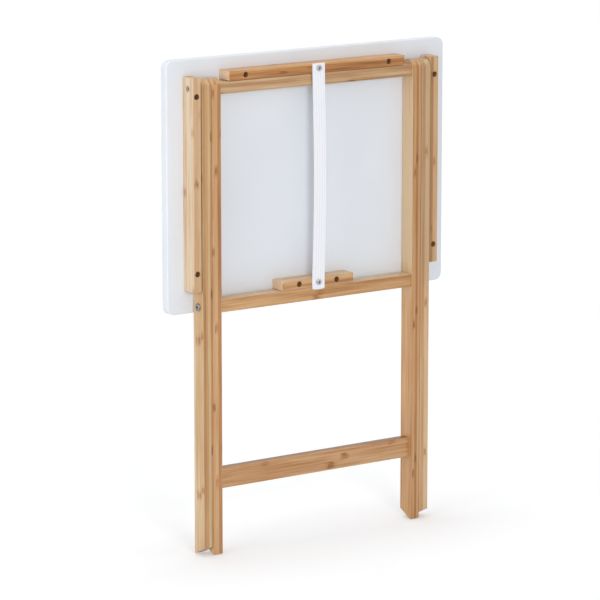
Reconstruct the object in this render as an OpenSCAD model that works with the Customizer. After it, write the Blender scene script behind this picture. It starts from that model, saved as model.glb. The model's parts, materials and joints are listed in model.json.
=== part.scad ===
// Folding tray table, stored folded: the top hangs on edge behind the closed legs.
// +Z is up, X runs along the top's long side and the top's underside looks towards -Y.
// The origin is on the floor, at the middle of the whole table's outline.
// Sizes are millimetres and angles are degrees.

/* [Table top] */
// Long side of the top
top_length = 500; // [450:1:640]
// Short side of the top
top_width = 377; // [365:1:460]
// Thickness of the top
top_thick = 15.2; // [13:0.1:22]
// Radius of the top's corners
top_corner = 12; // [6:1:40]
// Distance from the top pivots to the top's rear edge
rear_edge = 41; // [28:1:60]
// How far the top reaches past the side battens
side_overhang = 28.3; // [18:0.1:60]

/* [Legs] */
// Height of the scissor bolts over the floor when folded
scissor_height = 378; // [300:1:420]
// Distance from the scissor bolts up to the top pivots
arm = 325; // [312:1:380]
// Angle of each open leg from upright
lean = 26.6; // [22:0.1:28]
// Thickness of a leg, across the table
leg_thick = 15.8; // [13:0.1:20]
// Depth of a leg, front to back
leg_depth = 27; // [26:0.1:32]
// Gap between an inner leg and the outer leg beside it
leg_gap = 0.6; // [0.6:0.1:1.5]
// Gap between the backs of the legs and the top's underside
leg_clear = 0.8; // [0.5:0.1:2]

/* [Inner frame rails] */
// Height of the top rail
top_rail_height = 17.6; // [14:0.1:19]
// How far the top rail's middle lies under the top pivots
top_rail_drop = 1.6; // [0:0.1:2]
// Distance from the pivot line forward to the top rail's front face
top_rail_front = 10.6; // [10:0.1:12]
// Distance from the pivot line back to the top rail's back face
top_rail_back = 6.6; // [5:0.1:7]
// Height of the middle rail
mid_rail_height = 19.6; // [17:0.1:21]
// Depth of the middle rail, front to back
mid_rail_depth = 23.5; // [22:0.5:26]
// Height of the stretcher
stretcher_height = 31; // [20:0.5:45]
// Depth of the stretcher, front to back
stretcher_depth = 14; // [11:0.5:26]
// Height of the stretcher's lower edge over the floor
stretcher_rise = 99.5; // [60:0.5:180]

/* [Battens] */
// Thickness of the batten stock
batten_thick = 14.4; // [12:0.1:17]
// Depth of the batten stock, out from the top's underside
batten_depth = 26.6; // [24:0.1:30]
// Length of a side batten
side_batten_length = 317; // [200:1:330]
// How far a side batten reaches over its pivot
side_batten_over = 16.6; // [12:0.1:24]
// Gap between a side batten and the outer leg beside it
batten_gap = 1.5; // [0.5:0.1:2]
// Space between an end of the rear batten and the inner leg beside it
rear_batten_space = 15.6; // [2:0.1:40]
// Gap between the rear batten and the top rail
rear_gap = 0.8; // [0.4:0.1:1.5]
// Length of the catch block
block_length = 129.2; // [90:0.2:200]
// Gap between the catch block and the middle rail
block_gap = 0.4; // [0.3:0.1:1]
// Gap between the catch block and the top rail that it stops
stop_gap = 0.3; // [0.2:0.1:1]

/* [Strap] */
// Width of the webbing
strap_width = 22; // [16:0.5:30]
// Thickness of the webbing
strap_thick = 1.3; // [1:0.1:2]
// How far the strap stands out at its middle
strap_bow = 4.5; // [4.5:0.1:8]

/* [Wood screws] */
// Radius of a screw's shank
screw_r = 1.9; // [1.5:0.1:2.2]
// Radius of the head of a batten screw
screw_head_r = 3.7; // [3:0.1:4]
// Height of a screw head
screw_head = 2.2; // [1.6:0.1:2.6]
// Radius of the counterbores that hide the screw heads
counterbore_r = 4.3; // [4.2:0.1:5]
// Depth of the counterbores
counterbore_depth = 11; // [6:0.5:15]
// How far a batten screw reaches into the top
screw_bite = 10.5; // [7:0.5:11.5]
// Distance of the side batten screws from the batten's ends
side_screw_inset = 27.5; // [27:0.5:60]
// Distance of the rear batten screws from the batten's ends
rear_screw_inset = 28.9; // [12:0.1:60]
// Distance of the catch block screws from the middle
block_screw_offset = 34; // [22:0.5:38]
// Radius of the head of a strap screw
strap_head_r = 4.6; // [3.8:0.1:5]
// Length of a strap screw under its head
strap_screw_length = 16; // [10:0.5:20]
// Width of the cross recess in the screw heads
recess_width = 0.9; // [0.6:0.1:1.2]

/* [Pivots] */
// Radius of the scissor bolts and pivot pins
pin_r = 3; // [2:0.1:3.2]
// Radius of a scissor bolt's head
bolt_head_r = 5.9; // [4.5:0.1:7]
// Height of a scissor bolt's head
bolt_head = 2.4; // [1.6:0.1:4]
// Width of the socket in the bolt and pin heads, across its flats
socket_width = 4; // [3:0.1:4.4]
// Width of a scissor nut across its flats
nut_width = 10; // [8:0.1:10.6]
// Thickness of a scissor nut
nut_thick = 4.6; // [3:0.1:6]
// Radius of a spacer washer
washer_r = 8; // [5:0.1:10]
// Radius of a pivot pin's head
pin_head_r = 4.2; // [4:0.1:6]
// Thickness of a pivot pin's head
pin_head = 3; // [2.6:0.1:5]
// How deep a pivot pin's head lies under the batten's face
pin_recess = 0.6; // [0.2:0.1:2]

/* [Dowels] */
// Radius of the dowels on the top rail's pivot line
rail_dowel_r = 4; // [3:0.1:4.5]
// Radius of the stretcher's dowels
stretcher_dowel_r = 4; // [2.5:0.1:4.5]
// Distance between the two stretcher dowels of one end
stretcher_dowel_pitch = 15; // [9.5:0.5:15]
// Radius of the middle rail's dowels
mid_dowel_r = 2; // [1.5:0.1:2.2]
// Distance between the two middle rail dowels of one end
mid_dowel_pitch = 17.4; // [17:0.1:18.4]
// How far a dowel reaches into a leg
dowel_in_leg = 9; // [6:0.5:11]
// How far a dowel reaches into a rail
dowel_in_rail = 20; // [12:1:30]

/* [Hidden] */
$fn = 64;
// Clearance round a turning pin, and round a piece that is held fast.
running_fit = 0.06;
fast_fit = 0.02;
// Free space round a shank, at the end of a hole, and beside a face that slides.
shank_clear = 0.3;
end_clear = 0.5;
face_clear = 0.05;
// Space between a side batten's lower end and the scissor bolt's head under it.
bolt_clear = 2;
// Length of a screw's point, depth of the recesses and how far a cutter overshoots.
screw_tip = 4;
recess_depth = 1.4;
socket_depth = 1.6;
over = 1;
strap_steps = 24;

bamboo = [0.80, 0.61, 0.40];
bamboo_pale = [0.86, 0.72, 0.56];
bamboo_dark = [0.71, 0.50, 0.29];
white_board = [0.87, 0.88, 0.90];
white_web = [0.93, 0.93, 0.95];
zinc = [0.62, 0.63, 0.65];
nylon = [0.20, 0.20, 0.21];

// Across the table, counted from the middle.
batten_outer_x = top_length / 2 - side_overhang;
batten_x = batten_outer_x - batten_thick;
leg_outer_x = batten_x - batten_gap;
outer_leg_x = leg_outer_x - leg_thick;
inner_leg_x = outer_leg_x - leg_gap - leg_thick;
rail_length = 2 * inner_leg_x;
rear_batten_length = rail_length - 2 * rear_batten_space;
rear_screw_offset = rear_batten_length / 2 - rear_screw_inset;

// Front to back.  The origin is half way between the foremost piece and the top's face.
leg_reach = leg_clear + leg_depth;
strap_reach = batten_depth + strap_thick + max(strap_bow, screw_head);
front_reach = max(leg_reach, strap_reach);
under_y = (front_reach - top_thick) / 2;
axis_y = under_y - leg_clear - leg_depth / 2;
batten_front_y = under_y - batten_depth;

// Heights in the folded table.  A long side batten lifts the top pivots, so that it still
// ends over the scissor bolt's head.
fold_arm = max(arm, side_batten_length - side_batten_over + bolt_head_r + bolt_clear);
pivot_z = scissor_height + fold_arm;
top_edge_z = pivot_z + rear_edge;
top_rail_top = pivot_z - top_rail_drop + top_rail_height / 2;
rear_batten_z = top_rail_top + rear_gap;
side_batten_top = pivot_z + side_batten_over;
side_batten_z = side_batten_top - side_batten_length;

// The open table: the top rail has slid from the rear batten to the catch block.
slide = 2 * fold_arm * sin(lean);
rail_turn = 90 + lean;
top_rail_corners = [
    for (y = [-top_rail_front, top_rail_back], z = [-1, 1])
        [y, z * top_rail_height / 2 - top_rail_drop]
];
rail_reach = max([for (c = top_rail_corners) c[0] * sin(rail_turn) - c[1] * cos(rail_turn)]);
block_top = pivot_z - slide - rail_reach - stop_gap;
block_z = block_top - batten_thick;
mid_rail_top = block_z - block_gap;
mid_rail_z = mid_rail_top - mid_rail_height;
stretcher_mid_z = stretcher_rise + stretcher_height / 2;

side_screw_x = batten_x + batten_thick / 2;
side_screw_z = [side_batten_z + side_screw_inset, side_batten_top - side_screw_inset];
rear_screw_z = rear_batten_z + batten_thick / 2;
block_screw_z = block_z + batten_thick / 2;

// A round bar along X, from x0 to x1.
module x_rod(x0, x1, y, z, r)
    translate([x0, y, z])
        rotate([0, 90, 0])
            cylinder(r = r, h = x1 - x0);

// A round bar along Y, from y0 to y1.
module y_rod(y0, y1, x, z, r)
    translate([x, y0, z])
        rotate([-90, 0, 0])
            cylinder(r = r, h = y1 - y0);

// The same piece on the table's other side.
module left_side()
    mirror([1, 0, 0])
        children();

module both_sides() {
    children();
    left_side()
        children();
}

// A wood screw that points along +Y, with its head's outer face at y.
module wood_screw(x, y, z, head_r, length)
    difference() {
        union() {
            y_rod(y, y + screw_head, x, z, head_r);
            y_rod(y + screw_head, y + screw_head + length - screw_tip, x, z, screw_r);
            translate([x, y + screw_head + length - screw_tip, z])
                rotate([-90, 0, 0])
                    cylinder(r1 = screw_r, r2 = screw_r / 5, h = screw_tip);
        }
        for (turn = [0, 90])
            translate([x, y, z])
                rotate([0, turn, 0])
                    cube([1.2 * head_r, 2 * recess_depth, recess_width], center = true);
    }

// The counterbored hole that a batten screw goes through.
module screw_hole(x, z) {
    y_rod(batten_front_y - over, batten_front_y + counterbore_depth, x, z, counterbore_r);
    y_rod(batten_front_y, under_y + over, x, z, screw_r + shank_clear);
}

// The pilot hole for a batten screw in the top.
module top_pilot(x, z)
    y_rod(under_y - over, under_y + screw_bite + end_clear, x, z, screw_r + fast_fit);

// The pilot hole for a strap screw in a batten.
module strap_pilot(z)
    y_rod(batten_front_y - over, batten_front_y + strap_screw_length, 0, z, screw_r + fast_fit);

module batten_screw(x, z)
    wood_screw(x, batten_front_y + counterbore_depth - screw_head, z, screw_head_r,
               batten_depth - counterbore_depth + screw_bite);

module strap_screw(z)
    wood_screw(0, batten_front_y - strap_thick - screw_head, z, strap_head_r, strap_screw_length);

// A leg with a round head and a foot cut to stand flat on the floor when open.
// side is 1 where the foot's lowest corner is in front, and -1 where it is behind.
module leg(x, side)
    difference() {
        union() {
            translate([x, axis_y - leg_depth / 2, 0])
                cube([leg_thick, leg_depth, pivot_z]);
            x_rod(x, x + leg_thick, axis_y, pivot_z, leg_depth / 2);
        }
        translate([x - over, axis_y - side * leg_depth / 2, 0])
            rotate([side * lean, 0, 0])
                translate([0, -leg_depth * 2, -leg_depth])
                    cube([leg_thick + 2 * over, leg_depth * 4, leg_depth]);
    }

// A rail between the inner legs, from the front plane y back to the plane y_back.
module rail(y, y_back, z, height)
    translate([-inner_leg_x, y, z])
        cube([rail_length, y_back - y, height]);

// Dowels that join one end of a rail to its leg, with room round them for a hole.
module dowel(y, z, r, room = 0)
    x_rod(inner_leg_x - dowel_in_rail - (room > 0 ? end_clear : 0),
          inner_leg_x + dowel_in_leg + (room > 0 ? end_clear : 0), y, z, r + room);

module mid_dowels(room = 0)
    for (side = [-1, 1])
        dowel(axis_y + side * mid_dowel_pitch / 2, mid_rail_z + mid_rail_height / 2, mid_dowel_r, room);

module low_dowels(room = 0)
    for (side = [-1, 1])
        dowel(axis_y, stretcher_mid_z + side * stretcher_dowel_pitch / 2, stretcher_dowel_r, room);

module side_batten()
    difference() {
        translate([batten_x, batten_front_y, side_batten_z])
            cube([batten_thick, batten_depth, side_batten_length]);
        for (z = side_screw_z)
            screw_hole(side_screw_x, z);
        x_rod(batten_x - over, batten_outer_x + over, axis_y, pivot_z, pin_r + fast_fit);
        x_rod(batten_outer_x - pin_head - pin_recess, batten_outer_x + over, axis_y, pivot_z,
              pin_head_r + shank_clear);
    }

module outer_leg()
    difference() {
        leg(outer_leg_x, -1);
        for (z = [scissor_height, pivot_z])
            x_rod(outer_leg_x - over, leg_outer_x + over, axis_y, z, pin_r + running_fit);
    }

module inner_leg()
    difference() {
        leg(inner_leg_x, 1);
        x_rod(inner_leg_x - over, inner_leg_x + leg_thick + over, axis_y, scissor_height,
              pin_r + running_fit);
        x_rod(inner_leg_x - over, inner_leg_x + nut_thick + end_clear, axis_y, scissor_height,
              nut_width / sqrt(3) + end_clear);
        dowel(axis_y, pivot_z, rail_dowel_r, running_fit);
        mid_dowels(fast_fit);
        low_dowels(fast_fit);
    }

// The pivot pin ends inside the batten: it is the fold's opened pivot.
module pivot_pin()
    difference() {
        union() {
            x_rod(batten_x, batten_outer_x - pin_recess - pin_head, axis_y, pivot_z, pin_r);
            x_rod(batten_outer_x - pin_recess - pin_head, batten_outer_x - pin_recess, axis_y,
                  pivot_z, pin_head_r);
        }
        translate([batten_outer_x - pin_recess - socket_depth, axis_y, pivot_z])
            rotate([0, 90, 0])
                cylinder(r = socket_width / sqrt(3), h = socket_depth + over, $fn = 6);
    }

module scissor_bolt()
    difference() {
        union() {
            x_rod(inner_leg_x + end_clear, leg_outer_x + face_clear, axis_y, scissor_height, pin_r);
            x_rod(leg_outer_x + face_clear, leg_outer_x + face_clear + bolt_head, axis_y,
                  scissor_height, bolt_head_r);
        }
        translate([leg_outer_x + face_clear + bolt_head - socket_depth, axis_y, scissor_height])
            rotate([0, 90, 0])
                cylinder(r = socket_width / sqrt(3), h = socket_depth + over, $fn = 6);
    }

module scissor_nut()
    difference() {
        translate([inner_leg_x + end_clear - face_clear, axis_y, scissor_height])
            rotate([0, 90, 0])
                cylinder(r = nut_width / sqrt(3), h = nut_thick, $fn = 6);
        x_rod(inner_leg_x, inner_leg_x + nut_thick + over, axis_y, scissor_height, pin_r + fast_fit);
    }

// A thin washer that fills the gap between the faces x0 and x1.
module washer(x0, x1, z)
    difference() {
        x_rod(x0 + face_clear, x1 - face_clear, axis_y, z, washer_r);
        x_rod(x0, x1, axis_y, z, pin_r + shank_clear);
    }

// The top: a board with four round corners, standing on its front edge.
module top_panel()
    color(white_board)
        difference() {
            union() {
                translate([-top_length / 2 + top_corner, under_y, top_edge_z - top_width])
                    cube([top_length - 2 * top_corner, top_thick, top_width]);
                translate([-top_length / 2, under_y, top_edge_z - top_width + top_corner])
                    cube([top_length, top_thick, top_width - 2 * top_corner]);
                for (x = [-1, 1], z = [top_edge_z - top_width + top_corner, top_edge_z - top_corner])
                    y_rod(under_y, under_y + top_thick, x * (top_length / 2 - top_corner), z,
                          top_corner);
            }
            for (side = [-1, 1], z = side_screw_z)
                top_pilot(side * side_screw_x, z);
            for (side = [-1, 1]) {
                top_pilot(side * rear_screw_offset, rear_screw_z);
                top_pilot(side * block_screw_offset, block_screw_z);
            }
        }

module right_batten()
    color(bamboo_pale)
        side_batten();

module left_batten()
    color(bamboo_pale)
        left_side()
            side_batten();

module rear_batten()
    color(bamboo_dark)
        difference() {
            translate([-rear_batten_length / 2, batten_front_y, rear_batten_z])
                cube([rear_batten_length, batten_depth, batten_thick]);
            for (side = [-1, 1])
                screw_hole(side * rear_screw_offset, rear_screw_z);
            strap_pilot(rear_screw_z);
        }

module catch_block()
    color(bamboo_dark)
        difference() {
            translate([-block_length / 2, batten_front_y, block_z])
                cube([block_length, batten_depth, batten_thick]);
            for (side = [-1, 1])
                screw_hole(side * block_screw_offset, block_screw_z);
            strap_pilot(block_screw_z);
        }

// The strap lies flat on both battens and stands out between them, so that the top rail
// can turn behind it.
module strap()
    color(white_web)
        difference() {
            translate([-strap_width / 2, 0, 0])
                rotate([90, 0, 90])
                    linear_extrude(strap_width)
                        polygon(concat(
                            [for (i = [0 : strap_steps]) strap_point(i, 0)],
                            [[batten_front_y, rear_batten_z + batten_thick],
                             [batten_front_y - strap_thick, rear_batten_z + batten_thick]],
                            [for (i = [strap_steps : -1 : 0]) strap_point(i, strap_thick)],
                            [[batten_front_y - strap_thick, block_z], [batten_front_y, block_z]]));
            for (z = [rear_screw_z, block_screw_z])
                y_rod(batten_front_y - strap_thick - over, batten_front_y + over, 0, z,
                      screw_r + shank_clear);
        }

// Point i of the strap's free length, lift mm out from its inner face.
function strap_point(i, lift) = [
    batten_front_y - strap_bow * sin(180 * i / strap_steps) - lift,
    block_top + (rear_batten_z - block_top) * i / strap_steps
];

module strap_screw_upper()
    color(zinc)
        strap_screw(rear_screw_z);

module strap_screw_lower()
    color(zinc)
        strap_screw(block_screw_z);

module side_batten_screws()
    color(zinc)
        for (side = [-1, 1], z = side_screw_z)
            batten_screw(side * side_screw_x, z);

module rear_batten_screws()
    color(zinc)
        for (side = [-1, 1])
            batten_screw(side * rear_screw_offset, rear_screw_z);

module block_screws()
    color(zinc)
        for (side = [-1, 1])
            batten_screw(side * block_screw_offset, block_screw_z);

module pivot_pin_right()
    color(zinc)
        pivot_pin();

module pivot_pin_left()
    color(zinc)
        left_side()
            pivot_pin();

module pivot_washers()
    color(nylon)
        both_sides()
            washer(leg_outer_x, batten_x, pivot_z);

module outer_leg_right()
    color(bamboo)
        outer_leg();

module outer_leg_left()
    color(bamboo)
        left_side()
            outer_leg();

module inner_leg_right()
    color(bamboo)
        inner_leg();

module inner_leg_left()
    color(bamboo)
        left_side()
            inner_leg();

module top_rail()
    color(bamboo_dark)
        difference() {
            rail(axis_y - top_rail_front, axis_y + top_rail_back, top_rail_top - top_rail_height,
                 top_rail_height);
            both_sides()
                dowel(axis_y, pivot_z, rail_dowel_r, running_fit);
        }

module mid_rail()
    color(bamboo)
        difference() {
            rail(axis_y - mid_rail_depth / 2, axis_y + mid_rail_depth / 2, mid_rail_z,
                 mid_rail_height);
            both_sides()
                mid_dowels(fast_fit);
        }

module stretcher()
    color(bamboo)
        difference() {
            rail(axis_y - stretcher_depth / 2, axis_y + stretcher_depth / 2, stretcher_rise,
                 stretcher_height);
            both_sides()
                low_dowels(fast_fit);
        }

module mid_rail_dowels()
    color(bamboo_pale)
        both_sides()
            mid_dowels();

module stretcher_dowels()
    color(bamboo_pale)
        both_sides()
            low_dowels();

module rail_dowels()
    color(bamboo_pale)
        both_sides()
            dowel(axis_y, pivot_z, rail_dowel_r);

module scissor_bolt_right()
    color(zinc)
        scissor_bolt();

module scissor_bolt_left()
    color(zinc)
        left_side()
            scissor_bolt();

module scissor_nuts()
    color(zinc)
        both_sides()
            scissor_nut();

module scissor_washers()
    color(nylon)
        both_sides()
            washer(inner_leg_x + leg_thick, outer_leg_x, scissor_height);

top_panel();
left_batten();
right_batten();
rear_batten();
catch_block();
strap();
strap_screw_upper();
strap_screw_lower();
side_batten_screws();
rear_batten_screws();
block_screws();
pivot_pin_left();
pivot_pin_right();
pivot_washers();
outer_leg_left();
outer_leg_right();
inner_leg_left();
inner_leg_right();
top_rail();
mid_rail();
stretcher();
mid_rail_dowels();
stretcher_dowels();
rail_dowels();
scissor_bolt_left();
scissor_bolt_right();
scissor_nuts();
scissor_washers();
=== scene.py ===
# %% [markdown]
# # A folding tray table, stored folded
#
# The table has a white board for a top and two pairs of bamboo legs. Folded, the board
# hangs on edge behind the closed legs. The wooden pieces keep the shapes of the packed
# model, so this lesson is about finishing them: eased edges, laminated bamboo, a painted
# board, a woven strap and small steel fasteners.

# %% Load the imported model
import json
import math

import bmesh
import bpy
from mathutils import Matrix, Vector

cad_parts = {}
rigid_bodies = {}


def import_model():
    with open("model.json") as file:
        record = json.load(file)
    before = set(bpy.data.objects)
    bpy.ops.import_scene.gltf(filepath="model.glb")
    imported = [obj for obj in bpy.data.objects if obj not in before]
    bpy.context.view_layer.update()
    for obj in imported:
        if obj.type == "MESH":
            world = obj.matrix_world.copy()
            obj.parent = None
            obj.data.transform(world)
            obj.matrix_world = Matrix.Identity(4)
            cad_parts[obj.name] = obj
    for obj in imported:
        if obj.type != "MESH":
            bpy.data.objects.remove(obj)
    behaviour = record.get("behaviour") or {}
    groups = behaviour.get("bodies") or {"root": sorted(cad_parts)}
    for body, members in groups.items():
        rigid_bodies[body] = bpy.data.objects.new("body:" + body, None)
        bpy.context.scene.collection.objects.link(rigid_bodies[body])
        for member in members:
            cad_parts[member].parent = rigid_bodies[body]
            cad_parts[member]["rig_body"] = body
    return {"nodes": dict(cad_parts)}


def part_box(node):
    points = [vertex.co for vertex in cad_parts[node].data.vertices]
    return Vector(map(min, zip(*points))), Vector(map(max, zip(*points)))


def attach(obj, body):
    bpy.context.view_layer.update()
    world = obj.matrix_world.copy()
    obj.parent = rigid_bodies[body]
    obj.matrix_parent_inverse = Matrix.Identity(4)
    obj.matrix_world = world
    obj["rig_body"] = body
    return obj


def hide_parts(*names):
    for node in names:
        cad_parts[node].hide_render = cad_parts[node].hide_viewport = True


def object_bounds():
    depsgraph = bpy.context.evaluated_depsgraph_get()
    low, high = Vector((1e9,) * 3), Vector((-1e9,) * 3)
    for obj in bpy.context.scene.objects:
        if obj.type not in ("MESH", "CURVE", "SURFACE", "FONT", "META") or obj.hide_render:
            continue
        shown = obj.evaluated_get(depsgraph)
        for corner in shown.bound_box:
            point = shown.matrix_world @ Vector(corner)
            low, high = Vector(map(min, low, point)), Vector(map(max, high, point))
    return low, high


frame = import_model()
cad_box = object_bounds()
print("size of the folded table in metres:", [round(v, 4) for v in cad_box[1] - cad_box[0]])

# %% [markdown]
# ## Where things are
#
# Every place comes from the boxes of the imported pieces. The pivot washers and the left
# scissor bolt tell where the top pivots and the scissor bolts are: they share one line down
# the middle of the leg's depth.

# %% Read the main places
MM = 0.001


def middle(node):
    """The middle of a node's box."""
    low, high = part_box(node)
    return (low + high) / 2


underside_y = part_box("top_panel")[0].y
front_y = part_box("rear_batten")[0].y
pivot = middle("pivot_washers")
scissor = middle("scissor_bolt_left")
print("underside at y", round(underside_y, 4), "and battens' front at y", round(front_y, 4))

# %% [markdown]
# ## The camera
#
# A long lens from a few metres away keeps the uprights nearly parallel. It looks slightly
# down and from the table's left, so each leg shows its front and one side.

# %% Make the camera
CAMERA_TILT = 78.478  # degrees up from looking straight down
CAMERA_TURN = -34.446  # degrees about the vertical
CAMERA_LENS = 211.06
CAMERA_SENSOR = 36

camera = bpy.data.objects.new("camera", bpy.data.cameras.new("camera"))
bpy.context.scene.collection.objects.link(camera)
bpy.context.scene.camera = camera
camera.location = (-2.9492, underside_y - 4.2783, 1.4221)
camera.rotation_euler = (math.radians(CAMERA_TILT), 0, math.radians(CAMERA_TURN))
camera.data.lens = CAMERA_LENS
camera.data.sensor_width = CAMERA_SENSOR
camera.data.clip_end = 60
print("camera stands", round(camera.location.length, 2), "m from the table")

# %% [markdown]
# ## Writing materials as sums
#
# A material is a small network of nodes. Drawing it by hand is slow to read as code, so a
# small class holds one socket and turns arithmetic into Math nodes. Everything that isn't
# arithmetic goes through one method, `node`, which takes the node's type, its settings and
# what its sockets get.


# %% A socket that can be added and multiplied
class Wire:
    """One socket in a material. Arithmetic on it adds Math nodes."""

    def __init__(self, tree, socket=None):
        self.tree = tree
        self.socket = socket

    def node(self, kind, settings=None, inputs=None, output=0):
        """Adds a node, sets it up, fills its sockets and returns one of its outputs."""
        made = self.tree.nodes.new("ShaderNode" + kind)
        for name, value in (settings or {}).items():
            if name == "stops":
                ramp = made.color_ramp.elements
                while len(ramp) < len(value):
                    ramp.new(0.5)
                for element, (place, colour) in zip(ramp, value):
                    element.position, element.color = place, (*colour, 1)
            else:
                setattr(made, name, value)
        for name, value in (inputs or {}).items():
            if isinstance(value, Wire):
                self.tree.links.new(value.socket, made.inputs[name])
            else:
                made.inputs[name].default_value = value
        return Wire(self.tree, made.outputs[output])

    def maths(self, operation, *values):
        return self.node("Math", {"operation": operation}, dict(enumerate(values)))

    def __add__(self, other):
        return self.maths("ADD", self, other)

    def __sub__(self, other):
        return self.maths("SUBTRACT", self, other)

    def __rsub__(self, other):
        return self.maths("SUBTRACT", other, self)

    def __mul__(self, other):
        return self.maths("MULTIPLY", self, other)

    def __truediv__(self, other):
        return self.maths("DIVIDE", self, other)

    def __abs__(self):
        return self.maths("ABSOLUTE", self)

    __radd__ = __add__
    __rmul__ = __mul__

    def floor(self):
        return self.maths("FLOOR", self)

    def fraction(self):
        return self.maths("FRACT", self)

    def wave(self):
        return self.maths("SINE", self)

    def at_least(self, other):
        return self.maths("MAXIMUM", self, other)

    def fade(self, start, end, low=0.0, high=1.0):
        """Runs smoothly from low at start to high at end."""
        settings = {"interpolation_type": "SMOOTHSTEP"}
        inputs = {"Value": self, "From Min": start, "From Max": end, "To Min": low, "To Max": high}
        return self.node("MapRange", settings, inputs)


print("arithmetic on sockets is ready")

# %% [markdown]
# A few patterns come back in every finish: a point from three numbers, soft cloudy noise,
# and a random number that is the same all over one strip of bamboo. The noise takes its
# own scale for each direction, which is how long fibres are made.


# %% Patterns that every finish uses
def linear(red, green, blue):
    """A colour in 0 to 255 steps, as the linear colour that a shader takes."""
    return tuple(
        c / 12.92 if c <= 0.04045 else ((c + 0.055) / 1.055) ** 2.4
        for c in (red / 255, green / 255, blue / 255)
    )


def point(x, y, z):
    """A vector from three numbers or wires."""
    wire = next(v for v in (x, y, z) if isinstance(v, Wire))
    return wire.node("CombineXYZ", inputs={"X": x, "Y": y, "Z": z})


def parts(vector):
    """The three numbers of a vector."""
    split = vector.node("SeparateXYZ", inputs={"Vector": vector}).socket.node
    return [Wire(vector.tree, socket) for socket in split.outputs]


def clouds(where, detail=2.0):
    """Soft noise with features about one unit across, from 0 to 1."""
    return where.node("TexNoise", inputs={"Vector": where, "Scale": 1.0, "Detail": detail})


def chance(where):
    """A random number for each whole point."""
    return where.node("TexWhiteNoise", {"noise_dimensions": "3D"}, {"Vector": where})


def blended(share, first, second):
    """A colour between two others."""
    sockets = {0: share}
    for index, colour in ((6, first), (7, second)):
        sockets[index] = colour if isinstance(colour, Wire) else (*colour, 1)
    return share.node("Mix", {"data_type": "RGBA", "clamp_factor": True}, sockets, output=2)


def new_finish(name):
    """An empty material, with its shader and the wire of its own coordinates."""
    material = bpy.data.materials.new(name)
    material.use_nodes = True
    tree = material.node_tree
    shader = tree.nodes["Principled BSDF"]
    place = Wire(tree).node("TexCoord", output="Object")
    return material, shader, place


def plug(shader, name, wire):
    """Gives a shader's socket what a wire carries."""
    wire.tree.links.new(wire.socket, shader.inputs[name])


def rough_up(shader, height, strength, distance):
    """Lets a height pattern tilt the surface."""
    inputs = {"Height": height, "Strength": strength, "Distance": distance}
    plug(shader, "Normal", height.node("Bump", inputs=inputs))


print("patterns are ready")

# %% [markdown]
# ## Laminated bamboo
#
# Bamboo furniture is sawn from boards that are glued up from flat strips, each a few
# millimetres thick and about two centimetres wide. A leg shows the strips' thin edges in
# front, as narrow stripes of different tones, and their broad faces at its sides, which
# are calmer and paler: partly their own paler tone, partly painted light from the left. A
# rail lies the other way round and shows broad faces in front.
# So each member gives the width of its strips in both directions.
#
# Fine fibres run along a strip, and every 20 to 30 cm it crosses one of the cane's joints.
# A joint leaves a warm smudge with a few dark streaks in it. The pattern is built the same
# way: number the strips across the piece, draw a random tone for each number, then add
# fibres and joints. Rounded edges are painted a little paler, as a painted highlight, and
# the ends of a piece show dots instead of fibres. Both follow from the direction in which a
# surface faces.

# %% Tones of bamboo, from a dark joint to a pale strip
JOINT_SPACING = 0.235
BAMBOO_TONES = (
    (0.00, linear(139, 90, 48)),
    (0.30, linear(182, 129, 82)),
    (0.55, linear(203, 157, 112)),
    (0.78, linear(215, 178, 137)),
    (1.00, linear(230, 203, 172)),
)
print("joints come every", JOINT_SPACING, "m")


# %% The strips, fibres and joints
def strip_marks(along, across, depth, strips, seed):
    """A random tone for each strip, and the joints that cross it, from 0 to 1."""
    sway = (clouds(point(seed + 0.5, along * 9, seed)) - 0.5) * 0.35
    column = across / (strips[0] * MM) + sway + seed * 0.37
    layer = depth / (strips[1] * MM) + sway + seed * 0.61
    number = point(column.floor(), layer.floor(), seed)
    tone = chance(number) - 0.5
    phase = chance(point(column.floor() + 40, layer.floor(), seed))
    strength = chance(point(column.floor(), layer.floor() + 40, seed)).fade(0.3, 0.8)
    within = column.fraction() - 0.5
    turn = (along + within * within * 0.012) / JOINT_SPACING + phase
    distance = abs(turn.fraction() - 0.5) * JOINT_SPACING
    patches = clouds(point(across * 190, depth * 190 + seed, along * 110), 2) - 0.5
    streaks = clouds(point(across * 950, depth * 950 + seed, along * 70), 2)
    smudge = (distance + patches * 0.016).fade(0.0120, 0.0020) * strength
    core = (distance + patches * 0.008).fade(0.0066, 0.0022) * streaks.fade(0.42, 0.60)
    return tone, smudge, core * strength


def changing(along, grain, ends):
    """A value that runs from one to another near half the table's height or width, in metres."""
    centre, reach = (0.38, 0.06) if grain == "z" else (0.0, 0.11)
    return along.fade(centre - reach, centre + reach, *ends)


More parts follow.
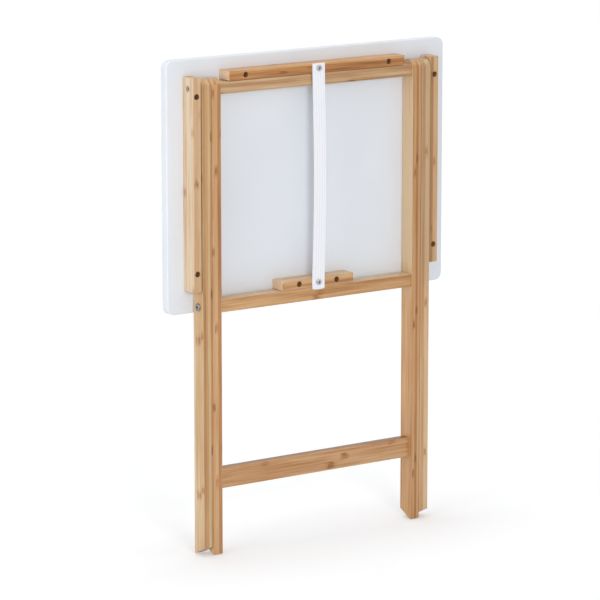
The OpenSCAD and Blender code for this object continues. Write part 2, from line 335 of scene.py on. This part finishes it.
def bamboo_tone(place, grain, seed, strips, tone, spread, side_tone_and_light):
    """How pale the bamboo is at each point, from 0 to 1, and how high its fibres stand."""
    x, y, z = parts(place)
    along, across, depth = (z, x, y) if grain == "z" else (x, z, y)
    strip_tone, smudge, core = strip_marks(along, across, depth, strips, seed)
    drift = clouds(point(across * 60 + seed, depth * 60, along * 7)) - 0.5
    streaks = clouds(point(across * 240, depth * 240 + seed, along * 9), 2) - 0.5
    fibres = clouds(point(across * 620 + seed, depth * 620, along * 11), 3) - 0.5
    hairs = clouds(point(across * 2600, depth * 2600 + seed, along * 55), 2) - 0.5
    facing = [abs(part) for part in parts(place.node("TexCoord", output="Normal"))]
    sideways = facing[0 if grain == "z" else 2].fade(0.5, 0.9)
    flattest = facing[0].at_least(facing[1]).at_least(facing[2])
    # Rounded edges are painted paler: a painted highlight along them.
    edge_highlight = flattest.fade(0.97, 0.80)
    pale = strip_tone * spread * (1 - sideways * 0.5)
    # Sideways faces get the side tone: partly the strips' own paler broad faces, partly painted light
    # and shade, which on a rail falls on its top.
    pale = pale + changing(along, grain, tone) + sideways * changing(along, grain, side_tone_and_light)
    lively = 1.9 if grain == "x" else 1 + sideways * 0.9
    pale = pale + (drift * 0.28 + streaks * 0.40 + fibres * 0.34) * lively
    pale = pale + hairs * 0.18 + edge_highlight * 0.12
    pale = pale - smudge * 0.22 - core * 0.36
    return pale, fibres + hairs * 0.6 - core * 0.3


def end_grain(place, grain, pale):
    """Swaps the fibres for dots where a surface is cut across the grain."""
    x, y, z = parts(place)
    normal = parts(place.node("TexCoord", output="Normal"))
    cut = abs(normal[2 if grain == "z" else 0]).fade(0.75, 0.95)
    first, second = (x, y) if grain == "z" else (z, y)
    dots = clouds(point(first * 1500, second * 1500, 0.0), 3)
    ring = clouds(point(first * 160, second * 380, 4.0), 2)
    # The rails' cut ends face sideways and are much paler than the legs' tops and feet: partly end
    # grain, partly painted light from the left, and painted shade on the tops, which get little light
    # from above.
    base = 0.55 if grain == "z" else 0.94
    end_tone = base + (dots - 0.5) * 0.6 + (ring - 0.5) * 0.35
    return pale * (1 - cut) + end_tone * cut, cut


def tones(pale, tint):
    """The colour of bamboo that is as pale as a value from 0 to 1, with a tint."""
    stops = [(at, [c * t for c, t in zip(colour, tint)]) for at, colour in BAMBOO_TONES]
    return pale.node("ValToRGB", {"stops": stops}, {"Fac": pale})


def bamboo_finish(name, grain, seed, strips, tone, spread, side_tone_and_light, shade, tint=(1, 1, 1)):
    """Lacquered laminated bamboo, with its grain along z or x."""
    material, shader, place = new_finish(name)
    pale, height = bamboo_tone(place, grain, seed, strips, tone, spread, side_tone_and_light)
    pale, cut = end_grain(place, grain, pale)
    colour = blended(cut, tones(pale, tint), tones(pale, (1, 1, 1)))
    x, y, z = parts(place)
    # The shade darkens the whole colour, by different amounts towards the two ends: painted shade.
    darker = {0: colour, "Scale": changing(z if grain == "z" else x, grain, shade)}
    plug(shader, "Base Color", colour.node("VectorMath", {"operation": "SCALE"}, darker))
    plug(shader, "Roughness", 0.36 + (clouds(point(x * 90, y * 90, z * 90)) - 0.5) * 0.14)
    rough_up(shader, height, 0.35, 0.0003)
    return material


print("the bamboo finish is ready")

# %% [markdown]
# Every member is sawn from another board, so each gets its own seed, its strips' width and
# depth in millimetres, its tone, and the spread of tones between its strips. The side tone
# is added where a surface faces sideways, which on a rail is its top and bottom, the shade
# scales the whole colour, and the tint scales its red, green and blue. Tone, side tone and
# shade are pairs: the value at the lower or left end, then at the upper or right end. These
# values also hold painted light and shade: sides lit from the left are painted paler, faces
# that get less light are painted darker, and a member is painted darker towards an end that
# lies in shade. The drilled holes stay unlacquered and get a finish of their own: their walls
# are painted much darker than the faces, as painted shade in the holes.

# %% Bamboo for each member
# The tones, side tones, shades and tints below also hold painted light and shade on each member.
MEMBERS = {
    "outer_leg_left": dict(
        grain="z", seed=3.0, strips=(4.1, 14), tone=(0.52, 0.53), spread=0.42,
        side_tone_and_light=(0.27, 0.27), shade=(0.90, 0.90), tint=(0.96, 0.98, 0.92),
    ),
    "outer_leg_right": dict(
        grain="z", seed=11.0, strips=(5.2, 14), tone=(0.62, 0.60), spread=0.46,
        side_tone_and_light=(0.20, 0.20), shade=(1.00, 0.82), tint=(0.94, 1.00, 1.04),
    ),
    "inner_leg_left": dict(
        grain="z", seed=7.0, strips=(5.2, 14), tone=(0.45, 0.38), spread=0.60,
        side_tone_and_light=(0.20, 0.20), shade=(0.97, 0.93), tint=(0.98, 0.97, 0.90),
    ),
    # Its left face is painted much darker below the middle rail: painted shade from the left pair of
    # legs.
    "inner_leg_right": dict(
        grain="z", seed=19.0, strips=(4.1, 14), tone=(0.38, 0.37), spread=0.60,
        side_tone_and_light=(0.11, 0.74), shade=(0.95, 0.88), tint=(0.95, 0.91, 0.79),
    ),
    "left_batten": dict(
        grain="z", seed=23.0, strips=(7.2, 14), tone=(0.73, 0.73), spread=0.40,
        side_tone_and_light=(0.14, 0.14), shade=(0.95, 0.95), tint=(0.93, 0.97, 0.99),
    ),
    "right_batten": dict(
        grain="z", seed=1.92, strips=(4.8, 14), tone=(0.50, 0.50), spread=0.70,
        side_tone_and_light=(0.20, 0.20), shade=(0.91, 0.91), tint=(1.00, 1.08, 1.13),
    ),
    "rear_batten": dict(
        grain="x", seed=31.0, strips=(3.6, 14), tone=(0.38, 0.32), spread=0.46,
        side_tone_and_light=(0.26, 0.30), shade=(0.97, 0.98), tint=(0.91, 0.81, 0.59),
    ),
    "catch_block": dict(
        grain="x", seed=37.0, strips=(4.8, 14), tone=(0.49, 0.42), spread=0.50,
        side_tone_and_light=(0.33, 0.28), shade=(0.95, 0.96), tint=(1.02, 1.05, 1.03),
    ),
    "top_rail": dict(
        grain="x", seed=0.3, strips=(6.0, 5), tone=(0.66, 0.46), spread=0.30,
        side_tone_and_light=(0.14, 0.14), shade=(0.87, 0.86), tint=(0.95, 1.01, 1.04),
    ),
    # Its top is painted paler: painted light from above.
    "mid_rail": dict(
        grain="x", seed=16.74, strips=(6.6, 5), tone=(0.48, 0.41), spread=0.30,
        side_tone_and_light=(0.38, 0.50), shade=(0.95, 0.94), tint=(0.99, 1.00, 0.92),
    ),
    # Its top is painted darker: painted shade, as little light falls from above.
    "stretcher": dict(
        grain="x", seed=30.27, strips=(10.4, 5), tone=(0.43, 0.42), spread=0.16,
        side_tone_and_light=(-0.30, -0.30), shade=(0.91, 0.90), tint=(1.01, 1.02, 0.99),
    ),
}
bamboo = {
    node: bamboo_finish("bamboo_" + node, **settings) for node, settings in MEMBERS.items()
}


def painted_hole_shade_finish():
    """The wall of a drilled hole, painted dark: painted shade in the hole."""
    material, shader, place = new_finish("bamboo_painted_hole_shade")
    x, y, z = parts(place)
    hole_mottle = clouds(point(x * 900, y * 300, z * 900), 3)
    stops = ((0.3, linear(118, 74, 42)), (0.7, linear(190, 138, 88)))
    plug(shader, "Base Color", hole_mottle.node("ValToRGB", {"stops": stops}, {"Fac": hole_mottle}))
    plug(shader, "Roughness", hole_mottle.fade(0.0, 1.0, 0.8, 0.95))
    rough_up(shader, hole_mottle, 0.4, 0.0003)
    return material


painted_hole_shade = painted_hole_shade_finish()
print(len(bamboo), "bamboo finishes")

# %% [markdown]
# ## The painted board
#
# The top is a white coated board. Seen close, sprayed paint has a faint orange peel, so
# the surface gets a very low, fine bump, and its colour and gloss drift a little.


# %% The white board's finish
def board_finish():
    material, shader, place = new_finish("white_board")
    x, y, z = parts(place)
    peel = clouds(point(x * 850, y * 850, z * 850), 2)
    drift = clouds(point(x * 7, y * 7, z * 7), 2)
    share = (drift * 0.7 + peel * 0.3).fade(0.3, 0.7)
    colour = blended(share, linear(221, 225, 231), linear(225, 229, 235))
    plug(shader, "Base Color", colour)
    plug(shader, "Roughness", 0.36 + (drift - 0.5) * 0.1 + (peel - 0.5) * 0.06)
    rough_up(shader, peel, 0.12, 0.0001)
    return material


white_board = board_finish()
print("made", white_board.name)

# %% [markdown]
# ## Steel and nylon
#
# The fasteners are zinc plated: a pale, slightly cloudy metal with fine scratches. The
# pivot pins have a warmer, brassy plating, and the scissor bolts have a darker, less
# metallic zinc. The spacer washers in the leg joints are dark nylon.


# %% The finishes of the fasteners
def steel_finish(name, shade, warmth=1.0, metallic=0.85):
    material, shader, place = new_finish(name)
    x, y, z = parts(place)
    plating = clouds(point(x * 420, y * 420, z * 420), 3)
    scratches = clouds(point(x * 6000, y * 500, z * 900), 2)
    dull = linear(150 * shade, 152 * shade * warmth, 156 * shade * warmth**2)
    bright = linear(212 * shade, 214 * shade * warmth, 218 * shade * warmth**2)
    plug(shader, "Base Color", blended(plating.fade(0.3, 0.7), dull, bright))
    plug(shader, "Roughness", 0.3 + (plating - 0.5) * 0.2 + (scratches - 0.5) * 0.15)
    shader.inputs["Metallic"].default_value = metallic
    rough_up(shader, scratches, 0.15, 0.0001)
    return material


def nylon_finish():
    material, shader, place = new_finish("nylon")
    x, y, z = parts(place)
    grit = clouds(point(x * 1200, y * 1200, z * 1200), 2)
    plug(shader, "Base Color", blended(grit.fade(0.3, 0.7), linear(44, 44, 46), linear(62, 62, 65)))
    plug(shader, "Roughness", 0.5 + (grit - 0.5) * 0.2)
    rough_up(shader, grit, 0.2, 0.0001)
    return material


zinc = steel_finish("zinc_steel", 1.0)
zinc_socket = steel_finish("zinc_in_shadow", 0.32)
brass = steel_finish("brassed_steel", 1.04, 0.9, 0.2)
# A darker, less metallic zinc for the scissor bolts.
darker_zinc = steel_finish("darker_zinc", 0.82, 0.95, 0.5)
nylon = nylon_finish()
metals = (zinc, zinc_socket, brass, darker_zinc)
print("made", ", ".join(finish.name for finish in (*metals, nylon)))

# %% [markdown]
# ## Easing the edges
#
# No edge on real furniture is knife sharp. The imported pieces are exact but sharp, and
# they come as loose triangles. So each is copied, its triangles are merged back into flat
# faces, and its outer edges are rounded with a bevel of three steps. Flat faces stay flat
# shaded and only the rounded strips and turned faces are smooth, so the light breaks
# cleanly at the edges.


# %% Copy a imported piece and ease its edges
WELD = 0.002 * MM  # points closer than this are one point
FLAT = math.radians(0.5)  # faces that meet at less than this are one face
SQUARE = math.radians(35)  # an outward edge that turns more than this is eased
TURNED = (math.radians(1), math.radians(12))  # between the faces of a turned surface
CREASE = math.radians(40)  # an edge that turns more than this stays hard


def merged_copy(node):
    """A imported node's mesh with its triangles merged into whole faces."""
    mesh = bmesh.new()
    mesh.from_mesh(frame["nodes"][node].data)
    bmesh.ops.remove_doubles(mesh, verts=mesh.verts, dist=WELD)
    bmesh.ops.dissolve_limit(mesh, angle_limit=FLAT, verts=mesh.verts, edges=mesh.edges)
    return mesh


def sharp(edge):
    """True for an outward edge between faces that meet squarely."""
    return edge.is_manifold and edge.is_convex and edge.calc_face_angle() > SQUARE


def smooth_rounded(mesh, rounded):
    """Smooth shading for rounded strips and turned faces only."""
    for face in mesh.faces:
        turned = any(
            edge.is_manifold and TURNED[0] < edge.calc_face_angle() < TURNED[1]
            for edge in face.edges
        )
        face.smooth = turned or face in rounded
    for edge in mesh.edges:
        if edge.is_manifold:
            one, other = edge.link_faces
            edge.smooth = (one in rounded) == (other in rounded) and (
                edge.calc_face_angle() < CREASE
            )


def ease(mesh, edges, radius):
    """Rounds edges with a three-step bevel and returns the new faces."""
    made = bmesh.ops.bevel(
        mesh, geom=edges, offset=radius, offset_type="OFFSET", affect="EDGES",
        segments=3, profile=0.5, material=-1, clamp_overlap=True,
    )
    return set(made["faces"])


def finished(mesh, name, materials):
    """Turns a bmesh into an object at the origin."""
    data = bpy.data.meshes.new(name)
    mesh.to_mesh(data)
    mesh.free()
    for material in materials:
        data.materials.append(material)
    piece = bpy.data.objects.new(name, data)
    bpy.context.scene.collection.objects.link(piece)
    return piece


def stand_for(piece, node):
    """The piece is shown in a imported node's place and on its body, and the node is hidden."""
    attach(piece, frame["nodes"][node]["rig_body"])
    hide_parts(node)


print("edge tools are ready")

# %% [markdown]
# ## The wooden members
#
# The long edges of a member are eased by a little under a millimetre and the edges of its
# foot by more. The rims of its holes are much finer, so they only lose their burr. A
# hole's wall is found by where it is: its faces lie closer to a drilled axis than the
# hole's radius.

# %% Holes in the wooden members
HOLE_REACH = 5.2 * MM  # a little more than the widest hole's radius
HOLE_START = 0.4 * MM  # a screw hole's wall starts this far behind the front
HOLE_FACE = 40 * MM * MM  # the faces of a hole's wall are smaller than this


def split_nodes(node):
    """The middle of each loose part of a node, such as each screw of a set."""
    mesh = bmesh.new()
    mesh.from_mesh(frame["nodes"][node].data)
    bmesh.ops.remove_doubles(mesh, verts=mesh.verts, dist=WELD)
    left, middles = set(mesh.verts), []
    while left:
        part, border = set(), [left.pop()]
        while border:
            vert = border.pop()
            part.add(vert)
            for edge in vert.link_edges:
                other = edge.other_vert(vert)
                if other in left:
                    left.discard(other)
                    border.append(other)
        low = Vector([min(v.co[i] for v in part) for i in range(3)])
        high = Vector([max(v.co[i] for v in part) for i in range(3)])
        middles.append((low + high) / 2)
    mesh.free()
    return middles


screw_holes = [
    spot
    for node in ("side_batten_screws", "rear_batten_screws", "block_screws")
    for spot in split_nodes(node)
]
print(len(screw_holes), "counterbored screw holes")


# %% Make the wooden members
def in_screw_hole(spot):
    """True for a point on the wall or bottom of a counterbore."""
    return spot.y > front_y + HOLE_START and any(
        math.hypot(spot.x - hole.x, spot.z - hole.z) < HOLE_REACH for hole in screw_holes
    )


def in_pivot_bore(spot):
    """True for a point in the bores along the scissor and pivot lines."""
    return any(
        math.hypot(spot.y - line.y, spot.z - line.z) < HOLE_REACH for line in (pivot, scissor)
    )


EDGE_RADIUS = 0.7 * MM
FOOT_RADIUS = 2.0 * MM
FOOT_HEIGHT = 3 * MM  # edges lower than this belong to a foot
RIM_RADIUS = 0.15 * MM
SHORT_EDGE = 0.8 * MM


def wooden(node):
    """A bamboo member with rounded edges and hole walls painted dark as painted shade."""
    mesh = merged_copy(node)
    rims = [e for e in mesh.edges if sharp(e) and e.calc_length() < SHORT_EDGE]
    rounded = ease(mesh, rims, RIM_RADIUS)
    foot = [e for e in mesh.edges if sharp(e) and all(v.co.z < FOOT_HEIGHT for v in e.verts)]
    rounded |= ease(mesh, foot, FOOT_RADIUS)
    long = [e for e in mesh.edges if sharp(e) and e.calc_length() >= SHORT_EDGE]
    rounded |= ease(mesh, long, EDGE_RADIUS)
    rounded = {face for face in rounded if face.is_valid}
    smooth_rounded(mesh, rounded)
    # Small faces in the holes get the dark hole finish: painted shade.
    for face in mesh.faces:
        spot = face.calc_center_median()
        face.material_index = int(
            face.calc_area() < HOLE_FACE and (in_screw_hole(spot) or in_pivot_bore(spot))
            and face not in rounded
        )
    piece = finished(mesh, node + "_wood", [bamboo[node], painted_hole_shade])
    stand_for(piece, node)
    return piece


members = [wooden(node) for node in MEMBERS]
print("made", ", ".join(piece.name for piece in members))

# %% [markdown]
# ## The top
#
# The board is a flat slab with round corners. Its coated rim is rounded over
# twice as much as the bamboo, which gives the thin bright line round its edge.

# %% Make the top
BOARD_EDGE = 1.4 * MM


def top_board():
    mesh = merged_copy("top_panel")
    rim = [e for e in mesh.edges if sharp(e) and e.calc_length() >= SHORT_EDGE]
    smooth_rounded(mesh, ease(mesh, rim, BOARD_EDGE))
    piece = finished(mesh, "top_board", [white_board])
    stand_for(piece, "top_panel")
    return piece


board = top_board()
print("the board has", len(board.data.polygons), "faces")

# %% [markdown]
# ## Bolts, pins and screws
#
# The heads are turned steel with a driver's recess. Their rims are rounded, which is what
# makes a pan head look soft. The recess lies in its own shadow, so it gets a darker metal.

# %% Make the heads
RIM_SLACK = 0.1 * MM
RECESS_DEPTH = (0.1 * MM, 2 * MM)  # where a recess starts and ends, from the piece's end


def radius_from(spot, centre, axis):
    """Distance of a point from an axis line through a centre."""
    off = spot - centre
    off[axis] = 0
    return off.length


def metal(node, finish, axis, head_radius, recess_radius, rounding):
    """A steel fastener whose head's rim is rounded and whose recess is dark."""
    mesh = merged_copy(node)
    centre = middle(node)

    def on_rim(vert):
        return abs(radius_from(vert.co.copy(), centre, axis) - head_radius) < RIM_SLACK

    rim = [e for e in mesh.edges if sharp(e) and all(on_rim(v) for v in e.verts)]
    rounded = ease(mesh, rim, rounding)
    smooth_rounded(mesh, rounded)
    low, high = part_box(node)
    for face in mesh.faces:
        spot = face.calc_center_median()
        inside = radius_from(spot.copy(), centre, axis) < recess_radius
        near_end = min(spot[axis] - low[axis], high[axis] - spot[axis])
        face.material_index = int(inside and RECESS_DEPTH[0] < near_end < RECESS_DEPTH[1])
    piece = finished(mesh, node + "_steel", [finish, zinc_socket])
    stand_for(piece, node)
    return piece


HEADS = {
    # node: (finish, axis, head radius, recess radius, rounding), the radii in millimetres
    "scissor_bolt_left": (darker_zinc, 0, 5.9, 3.2, 0.8),
    "scissor_bolt_right": (darker_zinc, 0, 5.9, 3.2, 0.8),
    "pivot_pin_left": (brass, 0, 4.2, 1.7, 0.5),
    "pivot_pin_right": (brass, 0, 4.2, 1.7, 0.5),
    "strap_screw_upper": (zinc, 1, 4.6, 2.9, 0.9),
    "strap_screw_lower": (zinc, 1, 4.6, 2.9, 0.9),
}
heads = [
    metal(node, finish, axis, head * MM, recess * MM, rounding * MM)
    for node, (finish, axis, head, recess, rounding) in HEADS.items()
]
print("made", ", ".join(piece.name for piece in heads))

# %% [markdown]
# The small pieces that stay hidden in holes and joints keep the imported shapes. They only
# need their finish: one material in each slot of the object.

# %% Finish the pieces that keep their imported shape
KEPT = {
    "side_batten_screws": zinc,
    "rear_batten_screws": zinc,
    "block_screws": zinc,
    "scissor_nuts": zinc,
    "scissor_washers": nylon,
    "pivot_washers": nylon,
}
dowel_finish = bamboo_finish(
    "bamboo_dowels", grain="x", seed=53.0, strips=(6, 6), tone=(0.72, 0.72), spread=0.2,
    side_tone_and_light=(0, 0), shade=(1, 1),
)
for node in ("mid_rail_dowels", "stretcher_dowels", "rail_dowels"):
    KEPT[node] = dowel_finish
for node, material in KEPT.items():
    for place in frame["nodes"][node].material_slots:
        place.material = material
print(len(KEPT), "packed pieces finished in place")

# %% [markdown]
# ## The strap
#
# A strip of white webbing is screwed to the rear batten and to the catch block. Between
# them it stands out, so that the top rail can slide behind it. Webbing is woven in cords
# that run lengthwise, which shows as fine ribs. The ribs are real here: the strip is a
# grid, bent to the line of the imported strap, and each row is lifted or lowered a little.

# %% The webbing's finish
RIBS = 5


def webbing_finish(width):
    material, shader, place = new_finish("webbing")
    x, y, z = parts(place)
    ribs = (x * (2 * math.pi * RIBS / width)).wave()
    yarn = (x * 5200 + (z * 2900).wave() * 1.3).wave() * (z * 3600).wave()
    fuzz = clouds(point(x * 1300, y * 1300, z * 700), 3)
    share = (ribs * 0.12 + yarn * 0.06 + fuzz * 0.6 - 0.1).fade(0.0, 0.55)
    plug(shader, "Base Color", blended(share, linear(230, 232, 238), linear(247, 248, 252)))
    plug(shader, "Roughness", 0.85 + (fuzz - 0.5) * 0.15)
    rough_up(shader, yarn * 0.5 + fuzz, 0.3, 0.0001)
    return material


strap_low, strap_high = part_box("strap")
strap_width = strap_high.x - strap_low.x
webbing = webbing_finish(strap_width)
print("the webbing is", round(strap_width / MM, 1), "mm wide")


# %% Make the strap
STRAP_THICKNESS = 1.2 * MM
RIB_HEIGHT = 0.06 * MM
TAIL = 3.2 * MM  # how far the strap hangs below the catch block
TAIL_DROOP = 1.1 * MM  # how far the middle of its cut end hangs below the corners
TAIL_RISE = 3 * MM  # the height over which the tail bends forward, clear of the middle rail
STRAP_ROOM = 1.3 * MM  # what the strap takes of the space in front of the battens
STRAP_LIFT = 0.05 * MM  # how far its inner face stays off the wood
RAIL_LIFT = 0.15 * MM  # how much further the tail stays off the middle rail
STRAP_STEP = 2.5 * MM
block_low, block_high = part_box("catch_block")
rear_low, rear_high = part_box("rear_batten")
rail_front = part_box("mid_rail")[0].y
strap_bow = front_y - strap_low.y - STRAP_ROOM


def strap_line(z):
    """Where the strap's inner face is at a height."""
    if z < block_low.z + TAIL_RISE:
        lift = min(1.0, (block_low.z + TAIL_RISE - z) / TAIL_RISE)
        out = max(front_y - rail_front, 0) + RAIL_LIFT
        return front_y - STRAP_LIFT - out * lift * lift * (3 - 2 * lift)
    share = (z - block_high.z) / (rear_low.z - block_high.z)
    bow = strap_bow * math.sin(math.pi * share) if 0 < share < 1 else 0
    return front_y - STRAP_LIFT - bow


def strap():
    low, high = block_low.z - TAIL, strap_high.z
    rows = round((high - low) / STRAP_STEP)
    mesh = bmesh.new()
    bmesh.ops.create_grid(mesh, x_segments=RIBS * 8, y_segments=rows, size=0.5)
    for vert in mesh.verts:
        across, share = vert.co.x, vert.co.y + 0.5
        z = low + share * (high - low)
        z -= TAIL_DROOP * (1 - (2 * across) ** 2) * max(0.0, 1 - share * 25)
        rib = RIB_HEIGHT * (0.5 - 0.5 * math.cos(2 * math.pi * RIBS * (across + 0.5)))
        vert.co = Vector((across * strap_width, strap_line(z) - STRAP_THICKNESS - rib + RIB_HEIGHT, z))
    bmesh.ops.recalc_face_normals(mesh, faces=mesh.faces)
    if sum(face.normal.y for face in mesh.faces) > 0:
        bmesh.ops.reverse_faces(mesh, faces=mesh.faces)
    for face in mesh.faces:
        face.smooth = True
    piece = finished(mesh, "webbing_strap", [webbing])
    wall = piece.modifiers.new("thickness", "SOLIDIFY")
    wall.thickness = STRAP_THICKNESS - RIB_HEIGHT
    wall.offset = -1
    length, last = 0.0, None
    for row in range(rows + 1):
        z = low + (high - low) * row / rows
        spot = Vector((0, strap_line(z), z))
        length += (spot - last).length if last else 0
        last = spot
    stand_for(piece, "strap")
    return length


strap_length = strap()
print("the strap is", round(strap_length / MM), "mm long")

# %% [markdown]
# ## The studio
#
# The table stands on a white floor that runs into a white background. A soft lamp stands
# in front, a little to the left, a larger one lights the left sides and a small one hangs
# above. The sky gives the rest: evenly in front, and more of it from behind, because the
# lamps hardly reach the far side of the board. To the camera and in reflections the sky
# and the floor are plain white; the floor only keeps the soft shadow near the feet. The
# left lamp isn't mirrored in glossy faces, because its image would turn the lacquered
# tops of the battens white when they are seen from the side.


# %% Make the world and the lamps
def white_to_viewers(wire):
    """1 for rays from the camera and for reflections, else 0."""
    path = wire.node("LightPath").socket.node
    seen = [Wire(wire.tree, path.outputs[n]) for n in
            ("Is Camera Ray", "Is Glossy Ray", "Is Transmission Ray")]
    return seen[0].at_least(seen[1]).at_least(seen[2])


AMBIENT = 0.545
BACKLIGHT = 0.36  # what the sky adds at its brightest place, straight behind the table
world = bpy.data.worlds.new("studio")
bpy.context.scene.world = world
world.use_nodes = True
sky = Wire(world.node_tree)
behind = parts(sky.node("TexCoord", output="Object"))[1]
daylight = behind.at_least(0) * BACKLIGHT + AMBIENT
level = white_to_viewers(sky) * (1 - daylight) + daylight
sky.tree.links.new(level.socket, sky.tree.nodes["Background"].inputs["Strength"])
sky.tree.nodes["Background"].inputs["Color"].default_value = (1, 1, 1, 1)


LAMPS = {
    # name: (place, size, power)
    "front_lamp": ((-1.0, -3.1, 1.1), 1.0, 36),
    "left_lamp": ((-3.0, -0.4, 0.9), 2.0, 30),
    "top_lamp": ((0.0, 0.1, 2.6), 0.7, 12),
}
table_middle = (cad_box[0] + cad_box[1]) / 2


def lamp(name, spot, size, power):
    """A square soft lamp that looks at the middle of the table."""
    light = bpy.data.lights.new(name, "AREA")
    light.shape, light.size, light.energy = "SQUARE", size, power
    holder = bpy.data.objects.new(name, light)
    bpy.context.scene.collection.objects.link(holder)
    holder.location = spot
    holder.visible_glossy = name != "left_lamp"
    aim = table_middle - Vector(spot)
    holder.rotation_euler = aim.to_track_quat("-Z", "Y").to_euler()


for name, (spot, size, power) in LAMPS.items():
    lamp(name, spot, size, power)
print("lamps:", ", ".join(LAMPS))

# %% [markdown]
# Light from the lamps fades with distance, so a plain white floor would grow darker
# towards the back. The floor therefore glows a little, for viewers only, with just what
# is missing from white. How much a lamp gives is its power over pi squared, times the
# cosines at both ends, over the distance squared.


# %% Make the floor
FLOOR = 0.8
SKY_SHARE = 0.21  # how much of the backlight falls on a surface that faces up
FULL_WHITE = 1.015  # a little over white, so that the floor reaches it everywhere


def from_lamp(x, y, spot, size, power):
    """How brightly a lamp lights a point of the floor."""
    spot = Vector(spot)
    aim = (table_middle - spot).normalized()
    across, along = x - spot.x, y - spot.y
    far = across * across + along * along + spot.z**2 + size**2 / 4
    toward = (across * aim.x + along * aim.y - spot.z * aim.z).at_least(0)
    return toward * (power / math.pi**2 * spot.z) / (far * far)


def floor():
    mesh = bmesh.new()
    bmesh.ops.create_grid(mesh, x_segments=1, y_segments=1, size=20)
    piece = finished(mesh, "floor", [])
    piece.data.transform(Matrix.Translation((0, 0, -0.1 * MM)))
    material = bpy.data.materials.new("floor_white")
    material.use_nodes = True
    wire = Wire(material.node_tree)
    material.node_tree.nodes.remove(material.node_tree.nodes["Principled BSDF"])
    x, y, _ = parts(wire.node("TexCoord", output="Object"))
    light = sum(from_lamp(x, y, *settings) for settings in LAMPS.values())
    light = light + AMBIENT + BACKLIGHT * SKY_SHARE
    missing = (FULL_WHITE - light * FLOOR).at_least(0) * white_to_viewers(wire)
    # The floor's colour is a little blue, which cancels the warm light that the bamboo throws onto it.
    plain = wire.node("BsdfDiffuse", inputs={"Color": (FLOOR, FLOOR * 1.01, FLOOR * 1.025, 1)})
    glow = wire.node("Emission", inputs={"Strength": missing})
    both = wire.node("AddShader", inputs={0: plain, 1: glow})
    wire.tree.links.new(both.socket, wire.tree.nodes["Material Output"].inputs["Surface"])
    piece.data.materials.append(material)


floor()
bpy.context.scene.view_settings.view_transform = "Standard"
print("the floor is down")

# %% [markdown]
# ## Finish
#
# Dressing must not change the table's size.

# %% Finish
print("the scene is built")
